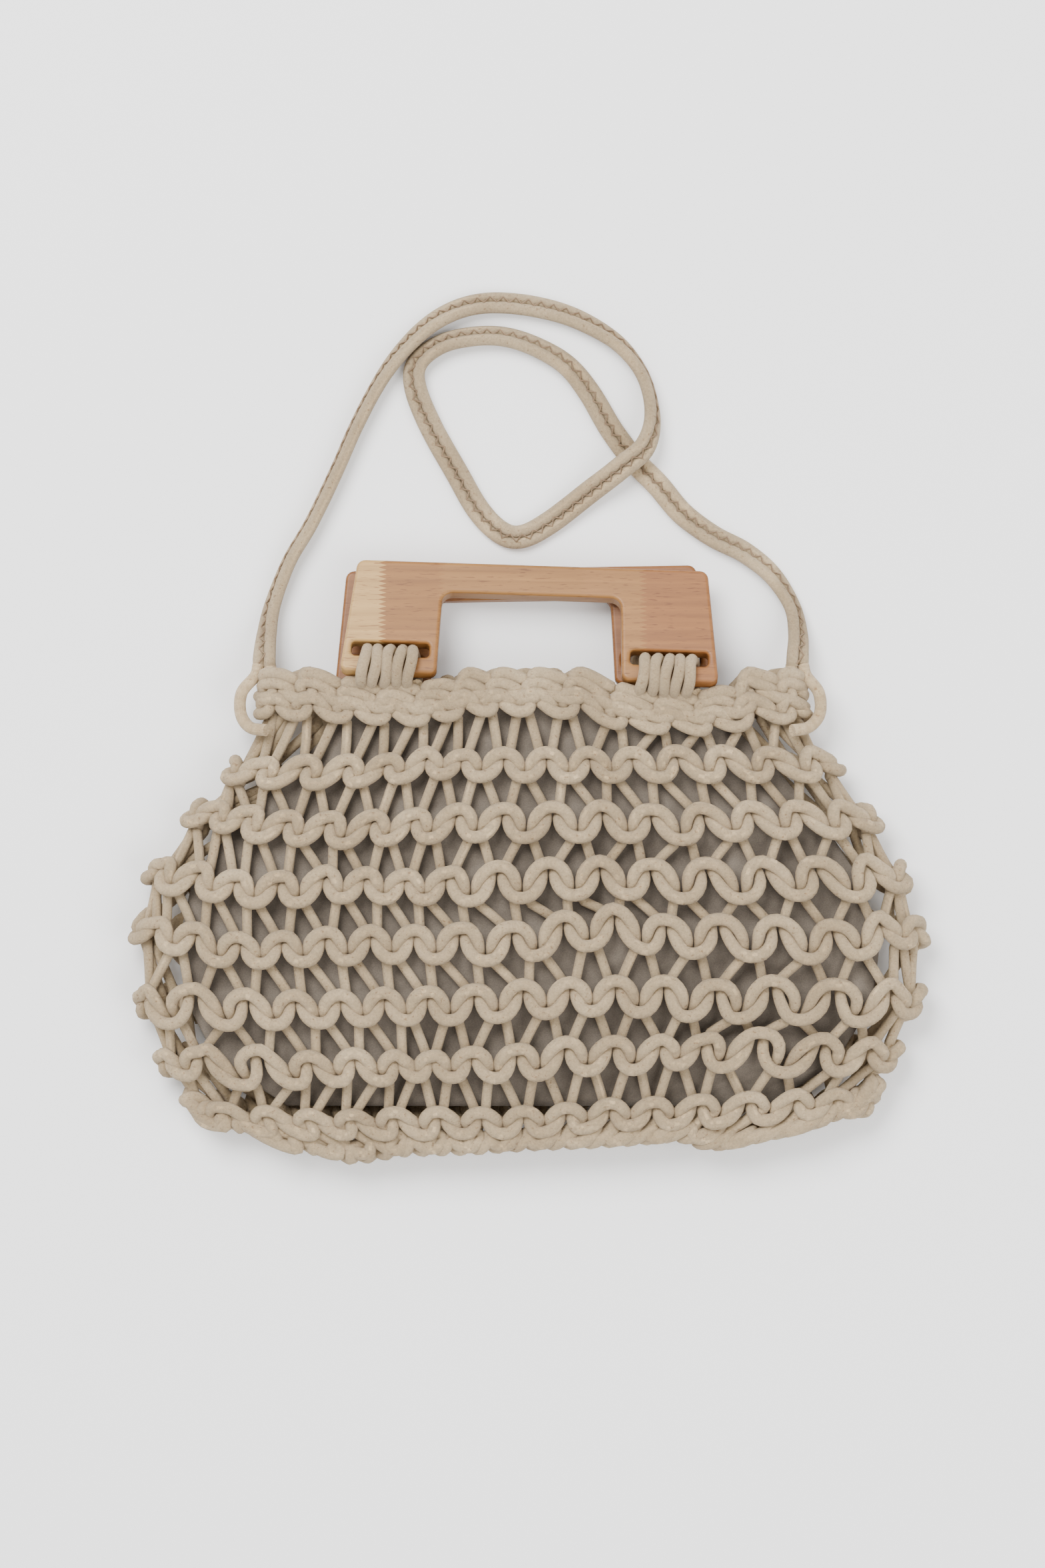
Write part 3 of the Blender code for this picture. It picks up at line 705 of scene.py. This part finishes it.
def stitch_half(low, high, index, way, names, mood):
    """Half a stitch of one column, on the side that way points to."""
    spots = {}
    for level, ring, name, swing in (("low", low, names[0], mood[0]),
                                     ("high", high, names[1], mood[1])):
        t, y = ring_at(ring, index)
        t_beside, y_beside = ring_at(ring, index + way)
        wide = (body_point(t, y) - body_point(t_beside, y_beside)).length
        share, lean = RIDGE_SHAPE[name]
        half = min(max(share * wide * swing, LEAST_HALF), MOST_HALF)
        spots[level] = (t, y, t_beside - t, y_beside - y, half, lean * way)
    gap = spots["high"][1] - spots["low"][1] - spots["high"][4] - spots["low"][4]
    points = []
    for level, share, rise, depth, thick in STITCH if gap > LEAST_LEG else SHORT_STITCH:
        t, y, t_step, y_step, half, lean = spots[level]
        along = share - rise * lean
        place = on_body(t + t_step * along, y + y_step * share + rise * half,
                        STITCH_LIFT * depth)
        points.append(Vector((*place, thick)))
    return points


def course(low, high, names, first, last, seed):
    """A run of rope that knits the columns from first up to last."""
    local = random.Random(seed)
    control = []
    for index in range(first, last):
        mood = [1 + local.uniform(-UNEVEN_STITCHES, UNEVEN_STITCHES) for level in names]
        left = stitch_half(low, high, index, -1, names, mood)
        right = stitch_half(low, high, index, 1, names, mood)
        if control:
            control[-1] = (control[-1] + left[0]) / 2
            left = left[1:]
        control += left + right[-2::-1]
    return spaced(control, 2)


# The chain along the hem: the length of one link, and how far its strands sway up and down and
# in and out.
LINK, LINK_SWAY, LINK_LIFT = 0.0092, 0.0028, 0.0028
CHAIN_STEPS = 480


def hem_chain():
    """Two strands of rope that cross over each other along the bottom edge."""
    runs = []
    for phase in (0.0, math.pi):
        run = []
        travelled = 0.0
        last = None
        for index in range(CHAIN_STEPS + 1):
            t = 2.0 * index / CHAIN_STEPS
            y = hem_y(body_point(t, HEM_Y + 0.025).x) + HEM_CHAIN_ABOVE
            base = body_point(t, y)
            if last is not None:
                travelled += (base - last).length
            last = base
            angle = math.pi * travelled / LINK + phase
            place = on_body(t, y + LINK_SWAY * math.sin(angle), LINK_LIFT * math.cos(angle))
            run.append((*place, 1.0))
        runs.append(run)
    return runs


ROWS = ("HEM", "BB", "R6", "R5", "R4", "R3", "R2", "R1", "A", "B", "C")
NET_ROWS, TOP_ROWS, HEM_ROWS = ROWS[1:9], ROWS[8:], ROWS[:2]
BAND_RADIUS = STITCH_RADIUS * 0.97
made_rings = rings()


def knitted(name, columns, rows, seed, radius, edging=()):
    """Courses of stitches, one from each row to the next, in one piece."""
    runs = []
    for low, high in zip(rows, rows[1:]):
        runs.append(course(made_rings[low], made_rings[high], (low, high), *columns, seed))
        seed += 1
    return rope_mesh(name, runs + list(edging), radius, 12, rope)


front_columns = (0, FRONT_COLUMNS)
back_columns = (FRONT_COLUMNS, FRONT_COLUMNS + BACK_COLUMNS)
all_columns = (0, FRONT_COLUMNS + BACK_COLUMNS)
front_net = knitted("front_knit", front_columns, NET_ROWS, 21, STITCH_RADIUS)
back_net = knitted("back_knit", back_columns, NET_ROWS, 51, STITCH_RADIUS)
top_band = knitted("top_band", all_columns, TOP_ROWS, 81, BAND_RADIUS)
bottom_band = knitted("bottom_band", all_columns, HEM_ROWS, 91, BAND_RADIUS, hem_chain())
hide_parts("front_panel")
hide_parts("back_panel")
for piece in (front_net, back_net, top_band, bottom_band):
    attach(piece, "bag")

# The rope turns that hold the handles' lower bars

WRAP_REACH = 0.0082
WRAP_RADIUS = 0.0028
WRAP_LENGTH = 0.0330
WRAP_TURNS, TURN_STEPS, WRAP_WOBBLE = 5, 16, 0.0005
FOOT_CENTRE = 0.06625


def wrap_run(axis, yaw, side, phase):
    """A rope that winds round one foot's bar."""
    turn = Matrix.Translation(axis) @ Matrix.Rotation(yaw, 4, "Z")
    run = []
    usable = WRAP_LENGTH - 2 * WRAP_RADIUS
    count = WRAP_TURNS * TURN_STEPS
    for index in range(count + 1):
        share = index / count
        angle = -math.pi / 2 + 2 * math.pi * WRAP_TURNS * share
        wobble = WRAP_WOBBLE * math.sin(index * 0.9 + phase)
        x = side * FOOT_CENTRE - usable / 2 + usable * share + wobble
        y = math.sin(angle) * WRAP_REACH
        z = math.cos(angle) * WRAP_REACH
        run.append((*(turn @ Vector((x, y, z))), 1.0))
    return run


for body, axis, yaw in (("front", FRONT_AXIS, FRONT_YAW), ("back", BACK_AXIS, BACK_YAW)):
    for side, word in ((-1, "left"), (1, "right")):
        piece = rope_mesh(f"{body}_{word}_turns", [wrap_run(axis, yaw, side, 3 + side)],
                          WRAP_RADIUS, 12, rope)
        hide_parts(f"{body}_{word}_wrap")
        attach(piece, "bag")

# The cord at each end of the strap: one loops round the band's end, one runs down into the band.
# Their points are chosen one by one.

for side, word in ((-1, "left"), (1, "right")):
    end = strap_path[0] if side < 0 else strap_path[-1]
    loop = (
        (end.x + side * 0.0028, 0.0932, 0.0160), (end.x + side * 0.0042, 0.0880, 0.0175),
        (side * 0.1375 + 0.0005, 0.0800, 0.0210), (side * 0.1380 + 0.0005, 0.0700, 0.0200),
        (side * 0.1330, 0.0635, 0.0240), (side * 0.1250, 0.0620, 0.0290),
    )
    inner = (
        (end.x - side * 0.0028, 0.0932, 0.0160), (end.x - side * 0.0030, 0.0890, 0.0190),
        (end.x - side * 0.0040, 0.0840, 0.0215),
    )
    runs = [spaced([Vector((*point, 1)) for point in route], 8) for route in (loop, inner)]
    piece = rope_mesh(f"{word}_strap_end", runs, CORD / 2, 12, rope)
    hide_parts(f"{word}_strap_loop")
    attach(piece, "bag")

# The lining

# Share of the net's length from the hem, and half width as a share of the bag's
LINING_RINGS = (
    (0.110, 0.700), (0.200, 0.830), (0.320, 0.860), (0.440, 0.870), (0.565, 0.860),
    (0.680, 0.830), (0.794, 0.780), (0.880, 0.700), (0.925, 0.690),
)
LINING_GAP = 0.0085
LINING_SIDES, LINING_LEVELS = 120, 56
CLOTH_THICKNESS = 0.0006
# How deep the cloth is crumpled at the left and how much deeper it gets at the right
CRUMPLE, MORE_CRUMPLE = 0.0016, 0.0022


def lining_point(angle, along):
    """A point of the pouch, where angle runs round it and along runs up it."""
    y = HEM_Y + along * NET_LENGTH
    shift = level_at(y)[1]
    u = between(LINING_RINGS, along)[0] * math.cos(angle)
    t = math.acos(-u) / math.pi
    high = body_point(t, y).z - LINING_GAP
    low = body_point(2 - t, y).z + LINING_GAP
    swing = abs(math.sin(angle)) ** 0.5 * math.copysign(1, math.sin(angle))
    x = BAG_HALF * shift + u * BAG_HALF * level_at(y)[0]
    crumple = CRUMPLE + MORE_CRUMPLE * smooth_step((x - 0.02) / 0.10)
    fold = noise.noise(Vector((x * 55, y * 30, math.sin(angle)))) * crumple
    fold += noise.noise(Vector((x * 150 + y * 60, y * 90, 3))) * crumple * 0.45
    fold *= 1 if math.sin(angle) > 0 else 0.3
    return Vector((x, y, (low + high) / 2 + swing * (high - low) / 2 + fold))


def make_lining():
    """The pouch, drawn up ring by ring from its closed bottom."""
    bm = bmesh.new()
    ring = bmesh.ops.create_circle(bm, cap_ends=True, radius=1.0,
                                   segments=LINING_SIDES)["verts"]
    edges = list(bm.edges)
    low, high = LINING_RINGS[0][0], LINING_RINGS[-1][0]
    for number in range(LINING_LEVELS):
        if number:
            made = bmesh.ops.extrude_edge_only(bm, edges=edges)["geom"]
            edges = [item for item in made if isinstance(item, bmesh.types.BMEdge)
                     and all(end in made for end in item.verts)]
            fresh = {vert for edge in edges for vert in edge.verts}
            ring = [next(edge.other_vert(vert) for edge in vert.link_edges
                         if edge.other_vert(vert) in fresh) for vert in ring]
        along = low + (high - low) * number / (LINING_LEVELS - 1)
        for index, vert in enumerate(ring):
            vert.co = lining_point(2 * math.pi * index / LINING_SIDES, along)
    bmesh.ops.recalc_face_normals(bm, faces=bm.faces)
    for face in bm.faces:
        face.smooth = True
    mesh = bpy.data.meshes.new("lining_cloth")
    bm.to_mesh(mesh)
    bm.free()
    item = added("lining_cloth", mesh, lining_cotton)
    thick = item.modifiers.new("cloth", "SOLIDIFY")
    thick.thickness = CLOTH_THICKNESS
    thick.offset = 0.0
    return item


lining = make_lining()
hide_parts("lining")
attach(lining, "bag")

# The wooden handles, each a plate with a grip opening and two slots for the rope

HANDLE_TOP_WIDTH, HANDLE_FOOT_WIDTH, HANDLE_REACH = 0.1670, 0.1800, 0.0530
HANDLE_THICKNESS, HANDLE_EDGE_ROUND = 0.0090, 0.0017
GRIP_WIDTH, GRIP_FLARE, TOP_BAR, BAR_HEIGHT = 0.0850, 0.0015, 0.0154, 0.0080
SLOT_WIDTH, SLOT_TOP = 0.0370, 0.0111
FOOT_ARC, TOP_ARC, GRIP_ARC, SLOT_ARC = 0.0036, 0.0042, 0.0054, 0.0020
# Points nearer than this are one, and edges that turn by more radians than this are sharp.
SAME_POINT, SHARP = 0.00005, 1.0
FRONT_TILT, BACK_TILT = math.radians(20.13), math.radians(6.48)


def rounded(corners, steps=5):
    """A closed outline whose corners are arcs. Each corner is x, y and its arc's radius."""
    points = []
    count = len(corners)
    for index, (x, y, arc) in enumerate(corners):
        corner = Vector((x, y))
        to_before = (Vector(corners[index - 1][:2]) - corner).normalized()
        to_after = (Vector(corners[(index + 1) % count][:2]) - corner).normalized()
        half = to_before.angle(to_after) / 2
        reach = arc / math.tan(half)
        centre = corner + (to_before + to_after).normalized() * (arc / math.sin(half))
        start = corner + to_before * reach - centre
        turn = start.angle_signed(corner + to_after * reach - centre)
        for step in range(steps + 1):
            points.append(centre + Matrix.Rotation(-turn * step / steps, 2) @ start)
    return points


def handle_plate(name, finish, axis, yaw, tilt):
    """A plate with rounded rims, turned to lie as it does in the photograph."""
    foot_half, top_half, grip_half = HANDLE_FOOT_WIDTH / 2, HANDLE_TOP_WIDTH / 2, GRIP_WIDTH / 2
    flare_half = grip_half + GRIP_FLARE
    foot, low, grip_top = -BAR_HEIGHT / 2, BAR_HEIGHT / 2, HANDLE_REACH - TOP_BAR
    outlines = [rounded((
        (-foot_half, foot, FOOT_ARC), (-top_half, HANDLE_REACH, TOP_ARC),
        (top_half, HANDLE_REACH, TOP_ARC), (foot_half, foot, FOOT_ARC),
        (flare_half, foot, FOOT_ARC), (grip_half, grip_top, GRIP_ARC),
        (-grip_half, grip_top, GRIP_ARC), (-flare_half, foot, FOOT_ARC)))]
    for side in (-1, 1):
        left = side * FOOT_CENTRE - SLOT_WIDTH / 2
        right = left + SLOT_WIDTH
        outlines.append(rounded([(x, y, SLOT_ARC) for x, y in (
            (left, low), (right, low), (right, SLOT_TOP), (left, SLOT_TOP))]))
    curve = bpy.data.curves.new(name, "CURVE")
    curve.dimensions = "2D"
    curve.fill_mode = "BOTH"
    curve.extrude = HANDLE_THICKNESS / 2
    for outline in outlines:
        spline = curve.splines.new("POLY")
        spline.points.add(len(outline) - 1)
        for target, point in zip(spline.points, outline):
            target.co = (point.x, point.y, 0.0, 1.0)
        spline.use_cyclic_u = True
    mesh = mesh_of(curve)
    bm = bmesh.new()
    bm.from_mesh(mesh)
    bmesh.ops.remove_doubles(bm, verts=bm.verts, dist=SAME_POINT)
    rims = [edge for edge in bm.edges
            if len(edge.link_faces) == 2 and edge.calc_face_angle() > SHARP
            and abs(edge.verts[0].co.z - edge.verts[1].co.z) < 2 * SAME_POINT]
    bmesh.ops.bevel(bm, geom=rims, offset=HANDLE_EDGE_ROUND, segments=4, profile=0.5,
                    affect="EDGES", material=-1, clamp_overlap=False)
    for face in bm.faces:
        face.smooth = True
    bm.to_mesh(mesh)
    bm.free()
    mesh.transform(Matrix.Translation(axis) @ Matrix.Rotation(yaw, 4, "Z")
                   @ Matrix.Rotation(-tilt, 4, "X"))
    item = added(name, mesh, finish)
    even = item.modifiers.new("even light", "WEIGHTED_NORMAL")
    even.keep_sharp = True
    return item


for word, finish, axis, yaw, tilt in (
    ("front", front_wood, FRONT_AXIS, FRONT_YAW, FRONT_TILT),
    ("back", back_wood, BACK_AXIS, BACK_YAW, BACK_TILT),
):
    plate = handle_plate(f"{word}_wooden_handle", finish, axis, yaw, tilt)
    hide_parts(f"{word}_handle")
    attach(plate, f"{word}_grip")

# Surface and light

FLOOR_HALF = 6.0
floor_mesh = bpy.data.meshes.new("floor")
bm = bmesh.new()
bmesh.ops.create_grid(bm, x_segments=1, y_segments=1, size=FLOOR_HALF)
bm.to_mesh(floor_mesh)
bm.free()
floor_finish, floor_tree, floor_shader = blank("pale paper", 0.9)
floor_shader.inputs["Base Color"].default_value = colour(250, 250, 250)
floor_shader.inputs["Specular IOR Level"].default_value = 0.2
floor = added("floor", floor_mesh, floor_finish)


def area_light(name, place, size, power):
    """A round lamp that shines at the bag."""
    data = bpy.data.lights.new(name, "AREA")
    data.shape = "DISK"
    data.size = size
    data.energy = power
    light = bpy.data.objects.new(name, data)
    light.location = place
    light.rotation_mode = "QUATERNION"
    light.rotation_quaternion = (-Vector(place)).to_track_quat("-Z", "Y")
    bpy.context.scene.collection.objects.link(light)


area_light("key light", (-0.9, 1.3, 2.4), 1.6, 120)
area_light("fill light", (1.5, -0.8, 2.2), 2.2, 56)
world = bpy.data.worlds.new("studio")
world.use_nodes = True
sky = world.node_tree.nodes["Background"]
sky.inputs["Color"].default_value = WHITE
sky.inputs["Strength"].default_value = 1.15
bpy.context.scene.world = world
